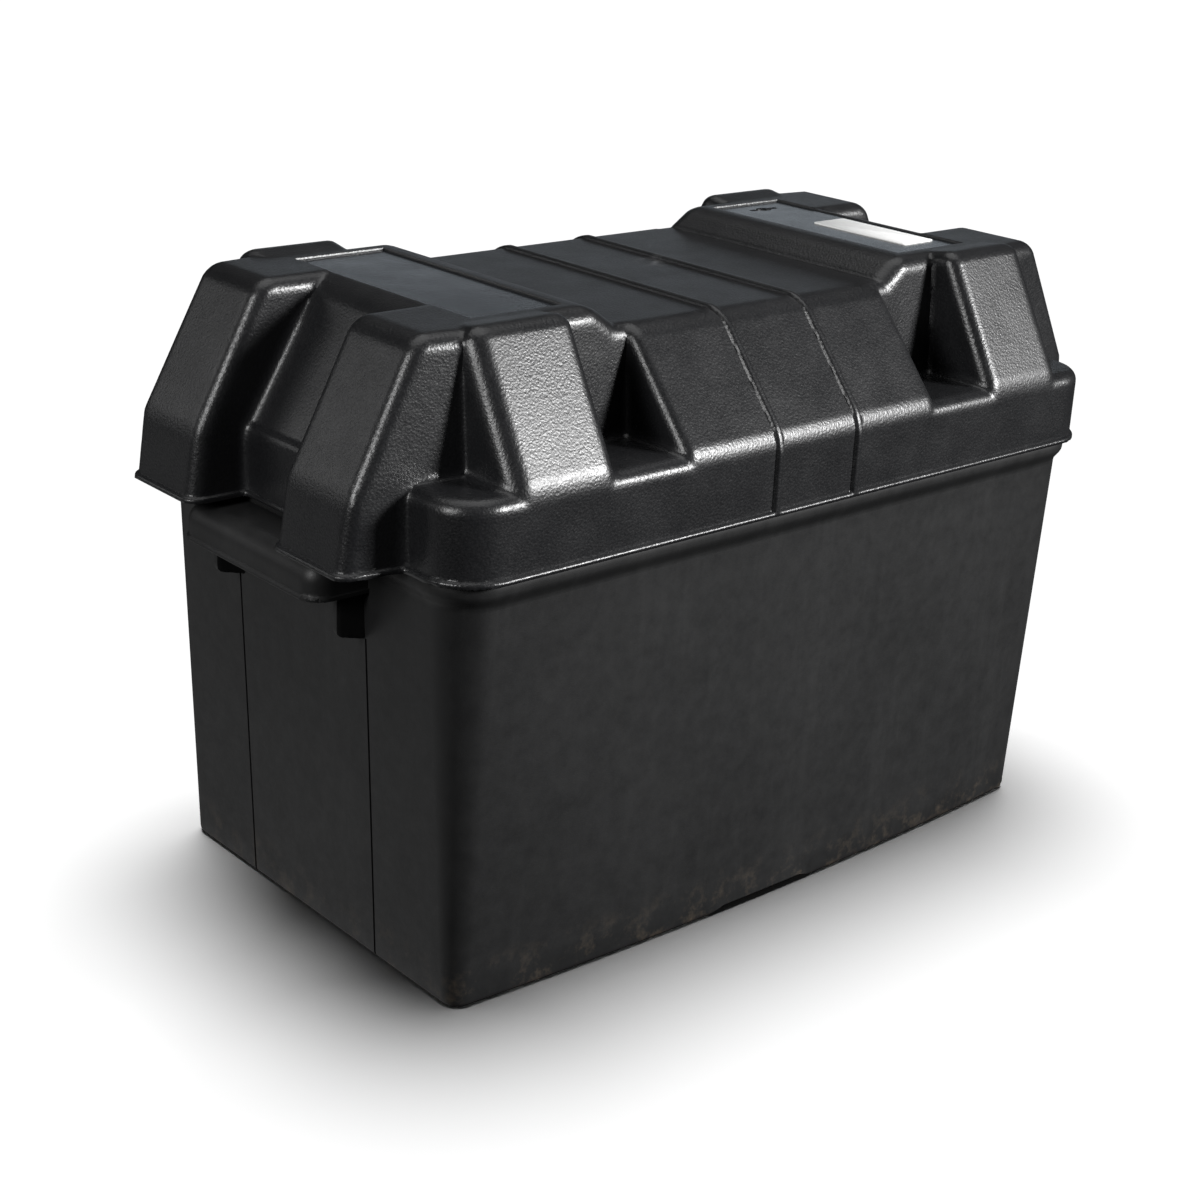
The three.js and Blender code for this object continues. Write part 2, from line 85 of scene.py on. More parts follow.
def surface_net(field, xs, ys, zs):
    """Closed quad mesh of field = 0 on a rectilinear grid, pulled onto the surface."""
    axes = (xs, ys, zs)
    f = field(*np.meshgrid(xs, ys, zs, indexing="ij"))
    inside = f < 0
    count = np.zeros([len(a) - 1 for a in axes], np.int8)
    corners = [(i, j, k) for i in (0, 1) for j in (0, 1) for k in (0, 1)]
    for i, j, k in corners:
        count += inside[i:i + count.shape[0], j:j + count.shape[1], k:k + count.shape[2]]
    cells = np.argwhere((count > 0) & (count < 8))
    index = np.full(count.shape, -1)
    index[tuple(cells.T)] = np.arange(len(cells))
    total, hits = np.zeros((len(cells), 3)), np.zeros(len(cells))
    for start in corners:
        for axis in range(3):
            if start[axis]:
                continue
            a = cells + np.array(start)
            b = a.copy()
            b[:, axis] += 1
            fa, fb = f[tuple(a.T)], f[tuple(b.T)]
            cross = (fa < 0) != (fb < 0)
            share = np.where(cross, fa / np.where(cross, fa - fb, 1), 0)
            point = np.stack([axes[n][a[:, n]] for n in range(3)], 1)
            point[:, axis] += share * (axes[axis][b[:, axis]] - axes[axis][a[:, axis]])
            total += point * cross[:, None]
            hits += cross
    points = total / hits[:, None]
    gap = 0.15
    for _ in range(4):
        value = field(*points.T)
        grad = np.stack([
            (field(*(points + step).T) - field(*(points - step).T)) / (2 * gap)
            for step in np.eye(3) * gap
        ], 1)
        move = -value[:, None] * grad / np.maximum((grad ** 2).sum(1), 0.05)[:, None]
        points += np.clip(move, -0.5, 0.5)
    faces = []
    for axis in range(3):
        low = [slice(None)] * 3
        high = [slice(None)] * 3
        low[axis], high[axis] = slice(0, -1), slice(1, None)
        one, two = inside[tuple(low)], inside[tuple(high)]
        second, third = (axis + 1) % 3, (axis + 2) % 3
        for solid_first in (True, False):
            edges = np.argwhere(one & ~two if solid_first else two & ~one)
            ring = []
            for du, dv in ((-1, -1), (0, -1), (0, 0), (-1, 0)):
                cell = edges.copy()
                cell[:, second] += du
                cell[:, third] += dv
                ring.append(index[tuple(cell.T)])
            quad = np.stack(ring, 1)
            faces.append(quad if solid_first else quad[:, ::-1])
    return points, np.concatenate(faces)


def mesh_object(name, points, faces):
    """Object from points in millimetres."""
    mesh = bpy.data.meshes.new(name)
    mesh.from_pydata((np.asarray(points, float) * MM).tolist(), [], [list(map(int, q)) for q in faces])
    mesh.validate()
    mesh.update()
    obj = bpy.data.objects.new(name, mesh)
    bpy.context.scene.collection.objects.link(obj)
    return obj


def combine(obj, other, operation):
    """Boolean of two closed meshes; the second one is used up."""
    modifier = obj.modifiers.new("cut", "BOOLEAN")
    modifier.operation = operation
    modifier.solver = "MANIFOLD"
    modifier.object = other
    bpy.context.view_layer.update()
    evaluated = obj.evaluated_get(bpy.context.evaluated_depsgraph_get())
    mesh = bpy.data.meshes.new_from_object(evaluated)
    obj.modifiers.clear()
    old, obj.data = obj.data, mesh
    bpy.data.meshes.remove(old)
    bpy.data.objects.remove(other)


def finish_mesh(obj, angle):
    """Smooth shading with sharp edges above an angle in degrees."""
    mesh = obj.data
    tidy = bmesh.new()
    tidy.from_mesh(mesh)
    bmesh.ops.remove_doubles(tidy, verts=tidy.verts, dist=2e-6)
    bmesh.ops.dissolve_degenerate(tidy, edges=tidy.edges, dist=1e-6)
    tidy.to_mesh(mesh)
    tidy.free()
    mesh.polygons.foreach_set("use_smooth", [True] * len(mesh.polygons))
    mesh.set_sharp_from_angle(angle=math.radians(angle))
    mesh.update()


# ---------------------------------------------------------------- lid

LID_WALL = 2.8
RIM = 173.0
SHELF, RECESS_SHELF = 204.0, 200.5
CENTRE_TOP, TOWER_TOP, SHOULDER_TOP = 246.0, 254.5, 257.0
SKIRT_X, SKIRT_Y, SKIRT_RADIUS = 174.5, 104.5, 20.0
BRIDGE_END, SPINE_END = 69.5, 103.0
RIB_X, RIB_HALF = 22, 1.7
LIP_HEIGHT = 2.2
PROUD = 1.45                     # how far the lip and the ribs stand out
LEG_INNER, LEG_TAPER = 28, 0.12
SHOULDER_RUN, SHOULDER_FALL = 14.6, 2.5

# Shallow panel on each tower: its middle along X, half sizes and the height of its floor.
PANEL_X, PANEL_HALF_X, PANEL_HALF_Y, PANEL_FLOOR = 113, 21, 56, 253.5

# Ends of the sloping faces, each as (distance from the middle, height).
SIDE_TOP, SIDE_FOOT = (66.0, TOWER_TOP), (70.0, SHELF)
TOWER_END_TOP, TOWER_END_FOOT = (141, TOWER_TOP), (173, RECESS_SHELF)
TOWER_INNER_TOP, TOWER_INNER_FOOT = (-84, TOWER_TOP), (-72, CENTRE_TOP)
FLANK_TOP, FLANK_FOOT = (75, SHOULDER_TOP), (SKIRT_Y, SHELF)
FLANK_END_TOP, FLANK_END_FOOT = (150, SHOULDER_TOP), (150.5, SHELF)
LEG_TOP, LEG_KNEE, LEG_FOOT = (167, TOWER_TOP), (195.5, 200), (199.5, RIM)
LEG_SIDE_TOP, LEG_SIDE_KNEE = (69, TOWER_TOP), (74.5, 200)
BRIDGE_TOP = (68, CENTRE_TOP)


def fade(value, start, stop):
    """0 at start, 1 at stop, straight between them."""
    return np.clip((value - start) / (stop - start), 0, 1)


def lid_core(x, y, z):
    """The lid's outer form without its lip, ribs and top panels."""
    x, y = np.abs(x), np.abs(y)
    outline = rounded_box(x, y, SKIRT_X, SKIRT_Y, SKIRT_RADIUS)
    side = np.maximum(slope(y, z, SIDE_TOP, SIDE_FOOT), y - SIDE_FOOT[0])

    # Skirt, lower between the end legs.
    skirt = round_and(outline, z - SHELF, 5.5)
    skirt = np.maximum(skirt, np.minimum(40 - y, x - 130))
    skirt = np.minimum(skirt, round_and(outline, z - RECESS_SHELF, 2.0))

    # Tower: inner slope, top, sloping end wall and pocket back walls.
    end_wall = round_and(slope(x, z, TOWER_END_TOP, TOWER_END_FOOT), x - SKIRT_X, 1.2)
    inner_slope = slope(-x, z, TOWER_INNER_TOP, TOWER_INNER_FOOT)
    inner_slope = round_and(inner_slope, -TOWER_INNER_FOOT[0] - x, 2.0)
    tower = round_and(z - TOWER_TOP, end_wall, 8.0)
    tower = round_and(tower, inner_slope, 3.0)
    tower = round_and(tower, side, 6.5)

    # Long-side panel of the tower, with a raised shoulder along its top edge.
    shoulder = (y - FLANK_TOP[0]) * -SHOULDER_FALL + (z - SHOULDER_TOP) * SHOULDER_RUN
    shoulder = shoulder / math.hypot(SHOULDER_FALL, SHOULDER_RUN)
    panel = round_and(shoulder, slope(y, z, FLANK_TOP, FLANK_FOOT), 5.0)
    panel = round_and(panel, outline, 2.4)
    panel = round_and(panel, SPINE_END - x, 5.5)
    panel = round_and(panel, slope(x, z, FLANK_END_TOP, FLANK_END_FOOT), 8.5)
    panel = np.maximum(panel, 50 - y)

    # Hollow leg beside the end recess, narrower towards its outer face.
    leg_face = round_and(slope(x, z, LEG_TOP, LEG_KNEE), slope(x, z, LEG_KNEE, LEG_FOOT), 1.6)
    side_y = y + (x - 170) * LEG_TAPER
    leg_side = slope(side_y, z, LEG_SIDE_TOP, LEG_SIDE_KNEE)
    leg_side = round_and(leg_side, side_y - LEG_SIDE_KNEE[0], 0.8)
    leg = round_and(leg_face, leg_side, 5.0)
    leg = round_and(leg, LEG_INNER - y, 6.0)
    leg = round_and(leg, z - TOWER_TOP, 6.0)
    leg = np.maximum(leg, 132 - x)

    # Middle of the lid: a bridge between the pockets and the spine behind them.
    bridge = round_and(slope(y, z, BRIDGE_TOP, FLANK_FOOT), outline, 3.0)
    bridge = round_and(bridge, z - CENTRE_TOP, 4.5)
    bridge = round_and(bridge, x - BRIDGE_END, 5.0)
    spine = round_and(z - CENTRE_TOP, side, 5.0)
    spine = np.maximum(spine, x - SPINE_END)

    # Concave fillets fade out where two forms share a face.
    below = fade(z, 248, 238)
    body = round_or(tower, leg, 4.0 * below * fade(y, 50, 40) + 1e-3)
    body = round_or(body, panel, 1.4 * below * fade(y, 66, 70) + 1e-3)
    middle = round_or(spine, bridge, 3.0 * fade(z, 240, 232) * fade(y, 66, 70) + 1e-3)
    body = np.minimum(body, middle)
    return round_or(body, skirt, 3.5 * np.maximum(fade(outline, -3, -9), fade(x, 170, 176)) + 1e-3)


def lid_shell(x, y, z):
    """The lid's outside with its lip, guide ribs and the shallow panel on each tower."""
    core = lid_core(x, y, z)
    lip = round_and(core - PROUD, z - (RIM + LIP_HEIGHT), 0.9)
    rib = round_and(core - PROUD, np.abs(np.abs(x) - RIB_X) - RIB_HALF, 1.1)
    body = np.minimum(round_or(core, lip, 0.6), rib)
    recess = np.maximum(np.abs(np.abs(x) - PANEL_X) - PANEL_HALF_X, np.abs(y) - PANEL_HALF_Y)
    recess = np.maximum(recess, PANEL_FLOOR - z)
    body = round_and(body, -recess, 0.5)
    return np.maximum(body, RIM - z)


def lid_hollow(x, y, z):
    """What is cut out of the lid to leave its wall."""
    return np.maximum(lid_core(x, y, z) + LID_WALL, RIM - 2 - z)


STEP = 1.45 if FINE else 2.2
THIN = 0.6 if FINE else 0.9
panel_ends = (PANEL_X - PANEL_HALF_X, PANEL_X + PANEL_HALF_X)
x_bands = [(sign * RIB_X - 2.4, sign * RIB_X + 2.4, THIN) for sign in (-1, 1)]
x_bands += [(sign * at - 1.2, sign * at + 1.2, THIN) for at in panel_ends for sign in (-1, 1)]
y_bands = [(sign * PANEL_HALF_Y - 1.2, sign * PANEL_HALF_Y + 1.2, THIN) for sign in (-1, 1)]
points, faces = surface_net(
    lid_shell,
    lines(-204.3, 204.3, STEP, x_bands),
    lines(-109.3, 109.3, STEP, y_bands),
    lines(171.3, 260, STEP, [(172.3, 177.1, THIN), (252.4, 254.8, THIN)]),
)
points[:, 2] = np.maximum(points[:, 2], RIM)
lid = mesh_object("lid_moulding", points, faces)
points, faces = surface_net(
    lid_hollow, lines(-204, 204, 2.9), lines(-109, 109, 2.9), lines(168.4, 260, 2.9))
combine(lid, mesh_object("lid_hollow_tool", points, faces), "DIFFERENCE")


def slot_tool(centre, length, width, top, depth):
    """Cutter for a slot along X with round ends."""
    tool = bmesh.new()
    ring = []
    steps = 12
    for turn in range(2 * steps):
        angle = -math.pi / 2 + math.pi * (turn % steps) / (steps - 1) + (turn >= steps) * math.pi
        side = 1 if turn < steps else -1
        ring.append((side * (length - width) / 2 + math.cos(angle) * width / 2,
                     math.sin(angle) * width / 2))

    def corner(u, v, z):
        return tool.verts.new(((centre[0] + u) * MM, (centre[1] + v) * MM, z * MM))

    low = [corner(u, v, top - depth) for u, v in ring]
    high = [corner(u, v, top + 1) for u, v in ring]
    tool.faces.new(low[::-1])
    tool.faces.new(high)
    for i in range(len(ring)):
        j = (i + 1) % len(ring)
        tool.faces.new((low[i], low[j], high[j], high[i]))
    mesh = bpy.data.meshes.new("slot_tool")
    tool.to_mesh(mesh)
    tool.free()
    obj = bpy.data.objects.new("slot_tool", mesh)
    bpy.context.scene.collection.objects.link(obj)
    return obj


# The moulded mark: a long slot with a short, wide one across its middle.
MARK = (113.5, 45.0)
for length, width, depth in ((17, 3.0, 1.4), (7.5, 6.5, 1.1)):
    combine(lid, slot_tool(MARK, length, width, PANEL_FLOOR, depth), "DIFFERENCE")
finish_mesh(lid, 42)

# ---------------------------------------------------------------- tub

FOOT_X, FOOT_Y, DRAFT, BOW = 164.25, 93.5, 6.5, 5.6
FOOT_RADIUS, NECK_RADIUS = 8.0, 18.0
TUB_WALL, TUB_FLOOR = 2.8, 3.2
COLLAR_FOOT, COLLAR_TOP, NECK_TOP = 162.7, 172.7, 195.0
COLLAR_DEPTH, COLLAR_FLARE = 2.9, 6
END_WALL = FOOT_X + DRAFT
LEDGE_HALF, LEDGE_REACH, LEDGE_WALL = 45.5, 23.5, 3
LEDGE_TOP, LEDGE_LIP = 170, 155
GUSSET_Y, GUSSET_HALF, GUSSET_REACH, GUSSET_FOOT, GUSSET_RISE = 41.1, 1.5, 11, 136, 3
LEDGE_ROOT = 168.2               # where the ledges start, inside the end walls
CHANNEL_X, CHANNEL_HALF, CHANNEL_RISE, CHANNEL_RAMP = -6.0, 22.0, 3.0, 10.0


def tub_ring(z, inset):
    """Outline of the tub's wall at height z, inset inside its outer face."""
    share = min(z / RIM, 1)
    radius = FOOT_RADIUS + (NECK_RADIUS - FOOT_RADIUS) * share
    half_x = FOOT_X + DRAFT * share - inset
    half_y = FOOT_Y + DRAFT * share - inset
    radius = max(radius - inset, 1)
    bow = BOW * max(0, 1 - z / COLLAR_FOOT)
    x, y = half_x - radius, half_y - radius
    ring = []
    corner_steps, long_steps, short_steps = 14, 56, 30
    for quarter, (cx, cy) in enumerate(((x, y), (-x, y), (-x, -y), (x, -y))):
        for step in range(corner_steps + 1):
            angle = math.pi / 2 * (quarter + step / corner_steps)
            ring.append((cx + radius * math.cos(angle), cy + radius * math.sin(angle)))
        if quarter in (0, 2):
            sign = 1 if quarter == 0 else -1
            for step in range(1, long_steps):
                along = 1 - 2 * step / long_steps
                ring.append((sign * x * along, sign * (half_y + bow * (1 - along ** 2))))
        else:
            sign = -1 if quarter == 1 else 1
            for step in range(1, short_steps):
                along = 1 - 2 * step / short_steps
                ring.append((sign * half_x, -sign * y * along))
    return [(px, py, z) for px, py in ring]


def lofted(name, rings):
    """Closed mesh through rings with as many points each, from the lowest up."""
    count = len(rings[0])
    points = [p for ring in rings for p in ring]
    faces = []
    for row in range(len(rings) - 1):
        for i in range(count):
            a, b = row * count + i, row * count + (i + 1) % count
            faces.append((a, b, b + count, a + count))
    last = (len(rings) - 1) * count
    faces.append(tuple(range(count))[::-1])
    faces.append(tuple(range(last, last + count)))
    return mesh_object(name, points, faces)


def prism(name, profile, low, high):
    """A profile of (x, z) points, anticlockwise seen from -Y, stretched from y low to high."""
    count = len(profile)
    points = [(x, low, z) for x, z in profile] + [(x, high, z) for x, z in profile]
    faces = [tuple(range(count)), tuple(range(count, 2 * count))[::-1]]
    for i in range(count):
        j = (i + 1) % count
        faces.append((i, i + count, j + count, j))
    return mesh_object(name, points, faces)


def ridge(name, foot, spread, sunk):
    """Ramped ridge across the box at the strap channel, its own foot sunk below height foot."""
    flat = CHANNEL_HALF + spread
    edge = flat + CHANNEL_RAMP
    profile = [(-edge, foot - sunk), (edge, foot - sunk), (edge, foot), (flat, foot + CHANNEL_RISE),
               (-flat, foot + CHANNEL_RISE), (-edge, foot)]
    return prism(name, [(CHANNEL_X + x, z) for x, z in profile], -130, 130)


def eased(value):
    """0 to 1 with a soft start and end."""
    return value * value * (3 - 2 * value)


wall_rows = [tub_ring(z, 0) for z in np.linspace(2.2, COLLAR_FOOT - 1, 15)]
flare_rows = [tub_ring(COLLAR_FOOT + COLLAR_FLARE * s, -COLLAR_DEPTH * eased(s))
              for s in np.linspace(0.08, 1, 7)]
outer_rows = (
    [tub_ring(0, 1.9), tub_ring(0.35, 1.0), tub_ring(1.1, 0.3)] + wall_rows + flare_rows
    + [tub_ring(COLLAR_TOP - 0.9, -COLLAR_DEPTH), tub_ring(COLLAR_TOP - 0.25, 0.25 - COLLAR_DEPTH),
       tub_ring(COLLAR_TOP, 0.9 - COLLAR_DEPTH), tub_ring(COLLAR_TOP + 0.01, 0.3),
       tub_ring(COLLAR_TOP + 0.4, 0), tub_ring(NECK_TOP - 0.8, 0), tub_ring(NECK_TOP - 0.2, 0.25),
       tub_ring(NECK_TOP, 0.8)]
)
cavity_rows = (
    [tub_ring(TUB_FLOOR, TUB_WALL + 3), tub_ring(TUB_FLOOR + 0.9, TUB_WALL + 0.9),
     tub_ring(TUB_FLOOR + 3, TUB_WALL)]
    + [tub_ring(z, TUB_WALL) for z in np.linspace(20, COLLAR_FOOT, 10)]
    + [tub_ring(NECK_TOP - 0.8, TUB_WALL), tub_ring(NECK_TOP + 0.5, TUB_WALL - 1.2)]
)
tub = lofted("tub_moulding", outer_rows)
cavity = lofted("tub_cavity_tool", cavity_rows)
combine(cavity, ridge("pad_tool", TUB_FLOOR, TUB_FLOOR, 1), "DIFFERENCE")


def ledge_field(x, y, z):
    """Handle ledge and its two gussets at the +X end."""
    front = END_WALL + LEDGE_REACH
    plan = round_and(np.abs(y) - LEDGE_HALF, x - front, 9.0)
    shell = round_and(plan, z - LEDGE_TOP, 8.0)
    hollow = round_and(np.abs(y) - (LEDGE_HALF - LEDGE_WALL), x - (front - LEDGE_WALL), 7.0)
    hollow = round_and(hollow, z - (LEDGE_TOP - LEDGE_WALL), 5.0)
    ledge = round_and(round_and(shell, -hollow, 0.7), LEDGE_LIP - z, 0.7)
    bead = round_and(round_and(plan - 0.9, -hollow, 0.4), np.abs(z - (LEDGE_LIP + 1)) - 1, 0.8)
    ledge = np.minimum(ledge, bead)
    foot = (GUSSET_FOOT - z) + (x - END_WALL) * GUSSET_RISE / GUSSET_REACH
    gusset = round_and(x - (END_WALL + GUSSET_REACH), foot, 3.0)
    gusset = round_and(np.abs(np.abs(y) - GUSSET_Y) - GUSSET_HALF, gusset, 0.7)
    gusset = np.maximum(gusset, z - (LEDGE_TOP - 2))
    return np.maximum(round_or(ledge, gusset, 1.2), LEDGE_ROOT - x)


LEDGE_STEP = 1.0 if FINE else 1.6
points, faces = surface_net(
    ledge_field, lines(166, 198, LEDGE_STEP), lines(-49.4, 49.4, LEDGE_STEP),
    lines(132, 173, LEDGE_STEP))
points[:, 0] = np.maximum(points[:, 0], LEDGE_ROOT)
combine(tub, mesh_object("ledge_right_tool", points, faces), "UNION")
combine(tub, mesh_object("ledge_left_tool", points * (-1, -1, 1), faces), "UNION")
combine(tub, cavity, "DIFFERENCE")
combine(tub, ridge("channel_tool", 0, 0, 1), "DIFFERENCE")

# Seam lines down each end wall, from the gussets to the underside.
SEAM_Y, SEAM_WIDTH, SEAM_DEPTH, SEAM_TOP = 43.0, 1.1, 0.8, GUSSET_FOOT
for end in (-1, 1):
    for side in (-1, 1):
        foot = FOOT_X - SEAM_DEPTH
        top = FOOT_X + DRAFT * SEAM_TOP / RIM - SEAM_DEPTH
        profile = [(foot, -1), (foot + 4, -1), (top + 4, SEAM_TOP), (top, SEAM_TOP)]
        if end < 0:
            profile = [(-x, z) for x, z in profile[::-1]]
        middle = side * SEAM_Y
        combine(tub, prism("seam_tool", profile, middle - SEAM_WIDTH / 2, middle + SEAM_WIDTH / 2),
                "DIFFERENCE")
finish_mesh(tub, 30)

# ---------------------------------------------------------------- label

low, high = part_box("label")
label_points, label_faces = [], []
centre = (Vector(low) + Vector(high)) / 2
half_x, half_y = (high.x - low.x) / 2 / MM, (high.y - low.y) / 2 / MM
LABEL_CORNER = 1.6


def label_ring(inset, z):
    """The label's outline with round corners, inset inside its edge."""
    ring = []
    for quarter, (sx, sy) in enumerate(((1, 1), (-1, 1), (-1, -1), (1, -1))):
        for step in range(7):
            angle = math.pi / 2 * (quarter + step / 6)
            radius = LABEL_CORNER - inset
            ring.append((centre.x / MM + sx * (half_x - LABEL_CORNER) + radius * math.cos(angle),
                         centre.y / MM + sy * (half_y - LABEL_CORNER) + radius * math.sin(angle), z))
    return ring


label_low, label_high = low.z / MM - 0.28, high.z / MM - 0.3
label = lofted("label_film", [
    label_ring(0, label_low), label_ring(0, label_high - 0.1), label_ring(0.12, label_high)])
finish_mesh(label, 50)

# ---------------------------------------------------------------- materials

def material(name):
    """New material with its nodes, links, shader and the object's own coordinates."""
    mat = bpy.data.materials.new(name)
    mat.use_nodes = True
    nodes, links = mat.node_tree.nodes, mat.node_tree.links
    nodes.clear()
    shader = nodes.new("ShaderNodeBsdfPrincipled")
    links.new(shader.outputs[0], nodes.new("ShaderNodeOutputMaterial").inputs[0])
    coords = nodes.new("ShaderNodeTexCoord").outputs["Object"]
    return mat, nodes, links, shader, coords


def noise(nodes, links, coords, scale, detail=2.0, rough=0.5, stretch=None):
    if stretch:
        mapping = nodes.new("ShaderNodeMapping")
        mapping.inputs["Scale"].default_value = stretch
        links.new(coords, mapping.inputs["Vector"])
        coords = mapping.outputs[0]
    node = nodes.new("ShaderNodeTexNoise")
    node.inputs["Scale"].default_value = scale
    node.inputs["Detail"].default_value = detail
    node.inputs["Roughness"].default_value = rough
    links.new(coords, node.inputs["Vector"])
    return node.outputs["Fac"]


def ramp(nodes, links, value, stops):
    node = nodes.new("ShaderNodeValToRGB")
    elements = node.color_ramp.elements
    while len(elements) < len(stops):
        elements.new(0.5)
    for element, (at, colour) in zip(elements, stops):
        element.position = at
        element.color = (*colour, 1) if isinstance(colour, tuple) else (colour, colour, colour, 1)
    links.new(value, node.inputs[0])
    return node.outputs[0]


def mix(nodes, links, share, a, b):
    node = nodes.new("ShaderNodeMix")
    node.data_type = "RGBA"
    for socket, value in ((node.inputs[0], share), (node.inputs[6], a), (node.inputs[7], b)):
        if isinstance(value, (int, float)):
            socket.default_value = value
        elif isinstance(value, tuple):
            socket.default_value = (*value, 1)
        else:
            links.new(value, socket)
    return node.outputs[2]


def math_node(nodes, links, operation, a, b):
    node = nodes.new("ShaderNodeMath")
    node.operation = operation
    for socket, value in zip(node.inputs, (a, b)):
        if isinstance(value, (int, float)):
            socket.default_value = value
        else:
            links.new(value, socket)
    return node.outputs[0]


def bump(nodes, links, height, strength, distance, below=None):
    node = nodes.new("ShaderNodeBump")
    node.inputs["Strength"].default_value = strength
    node.inputs["Distance"].default_value = distance
    links.new(height, node.inputs["Height"])
    if below is not None:
        links.new(below, node.inputs["Normal"])
    return node.outputs[0]


def band_mask(nodes, links, value, middle, half):
    """1 where value lies within half of middle."""
    off = math_node(nodes, links, "ABSOLUTE", math_node(nodes, links, "SUBTRACT", value, middle), 0.0)
    return math_node(nodes, links, "LESS_THAN", off, half)


SCUFF_AT = (0.0145, 0.011, 0.246)
MASK_INSET, MASK_DEPTH = 0.2, 0.6


def lid_material():
    mat, nodes, links, shader, coords = material("lid_grained_black")
    split = nodes.new("ShaderNodeSeparateXYZ")
    links.new(coords, split.inputs[0])
    along = math_node(nodes, links, "ABSOLUTE", split.outputs["X"], 0.0)

    # Each tower's shallow panel is smoother than the grain around it. Its paler, bluish colour is a painted
    # reflection of cool light.
    along_x = band_mask(nodes, links, along, PANEL_X * MM, (PANEL_HALF_X - MASK_INSET) * MM)
    along_y = band_mask(nodes, links, split.outputs["Y"], 0.0, (PANEL_HALF_Y - MASK_INSET) * MM)
    panel = math_node(nodes, links, "MULTIPLY", along_x, along_y)
    panel = math_node(nodes, links, "MULTIPLY", panel,
                      band_mask(nodes, links, split.outputs["Z"], PANEL_FLOOR * MM, MASK_DEPTH * MM))
    grained = math_node(nodes, links, "SUBTRACT", 1.0, panel)

    # Colour: nearly black, with fine pale specks and wide soft patches.
    patches = noise(nodes, links, coords, 28, 4, 0.6)
    grain = noise(nodes, links, coords, 1150, 2, 0.6)
    pebble = nodes.new("ShaderNodeTexVoronoi")
    pebble.inputs["Scale"].default_value = 950
    links.new(coords, pebble.inputs["Vector"])
    colour = ramp(nodes, links, patches,
                  [(0.3, (0.0048, 0.005, 0.0056)), (0.7, (0.0078, 0.008, 0.0088))])
    speck = ramp(nodes, links, grain, [(0.35, 0.0), (0.75, 1.0)])
    colour = mix(nodes, links, math_node(nodes, links, "MULTIPLY", speck, 0.3), colour,
                 (0.018, 0.018, 0.019))

    # A pale scuff on the middle panel.
    offset = nodes.new("ShaderNodeVectorMath")
    offset.operation = "DISTANCE"
    links.new(coords, offset.inputs[0])
    offset.inputs[1].default_value = SCUFF_AT
    near = ramp(nodes, links, math_node(nodes, links, "MULTIPLY", offset.outputs["Value"], 100.0),
                [(0.15, 1.0), (1.0, 0.0)])
    smear = ramp(nodes, links, noise(nodes, links, coords, 260, 5, 0.7, (0.5, 1, 1)),
                 [(0.48, 0.0), (0.66, 0.6)])
    colour = mix(nodes, links, math_node(nodes, links, "MULTIPLY", near, smear), colour,
                 (0.16, 0.16, 0.165))
    # Painted reflection: the panel's paler bluish colour stands in for the cool light its smooth face
    # reflects.
    colour = mix(nodes, links, math_node(nodes, links, "MULTIPLY", panel, 0.8), colour,
                 (0.0125, 0.0138, 0.016))
    links.new(colour, shader.inputs["Base Color"])

    rough = ramp(nodes, links, noise(nodes, links, coords, 60, 5, 0.65), [(0.3, 0.31), (0.7, 0.39)])
    rough = math_node(nodes, links, "SUBTRACT", rough,
                      math_node(nodes, links, "MULTIPLY", panel, 0.17))
    rough = math_node(nodes, links, "ADD", rough, math_node(
        nodes, links, "MULTIPLY", math_node(nodes, links, "SUBTRACT", grain, 0.5),
        math_node(nodes, links, "MULTIPLY", grained, 0.2)))
    links.new(rough, shader.inputs["Roughness"])
    shader.inputs["Specular IOR Level"].default_value = 0.42
    height = math_node(nodes, links, "ADD", grain,
                       math_node(nodes, links, "MULTIPLY", pebble.outputs["Distance"], 0.6))
    depth = math_node(nodes, links, "ADD", math_node(nodes, links, "MULTIPLY", grained, 0.7), 0.3)
    height = math_node(nodes, links, "MULTIPLY", height, depth)
    fine = bump(nodes, links, height, 0.8, 0.00011)
    wave = bump(nodes, links, noise(nodes, links, coords, 18, 2, 0.5), 0.2, 0.001, fine)
    links.new(wave, shader.inputs["Normal"])
    return mat


DUST_HEIGHT = 0.022


def tub_material():
    mat, nodes, links, shader, coords = material("tub_satin_black")
    patches = noise(nodes, links, coords, 16, 5, 0.6)
    colour = ramp(nodes, links, patches,
                  [(0.3, (0.0065, 0.0066, 0.0068)), (0.72, (0.0105, 0.0106, 0.0108))])
    streaks = noise(nodes, links, coords, 40, 5, 0.7, (1, 1, 0.12))
    colour = mix(nodes, links, ramp(nodes, links, streaks, [(0.52, 0.0), (0.8, 0.35)]), colour,
                 (0.025, 0.025, 0.025))
    # Faint brown dust just above the underside.
    split = nodes.new("ShaderNodeSeparateXYZ")
    links.new(coords, split.inputs[0])
    height_share = nodes.new("ShaderNodeMapRange")
    height_share.inputs["From Min"].default_value = 0.0
    height_share.inputs["From Max"].default_value = DUST_HEIGHT
    height_share.inputs["To Min"].default_value = 1.0
    height_share.inputs["To Max"].default_value = 0.0
    links.new(split.outputs["Z"], height_share.inputs["Value"])
    dust = math_node(nodes, links, "MULTIPLY", height_share.outputs[0],
                     ramp(nodes, links, noise(nodes, links, coords, 90, 6, 0.75), [(0.5, 0.0), (0.75, 0.5)]))
    colour = mix(nodes, links, dust, colour, (0.11, 0.085, 0.06))
    links.new(colour, shader.inputs["Base Color"])
    scuff = noise(nodes, links, coords, 130, 6, 0.75)
    links.new(ramp(nodes, links, scuff, [(0.3, 0.44), (0.7, 0.56)]), shader.inputs["Roughness"])
    shader.inputs["Specular IOR Level"].default_value = 0.3
    fine = bump(nodes, links, noise(nodes, links, coords, 1900, 2, 0.5), 0.22, 0.00012)
    wave = bump(nodes, links, noise(nodes, links, coords, 11, 2, 0.5), 0.3, 0.002, fine)
    links.new(wave, shader.inputs["Normal"])
    return mat


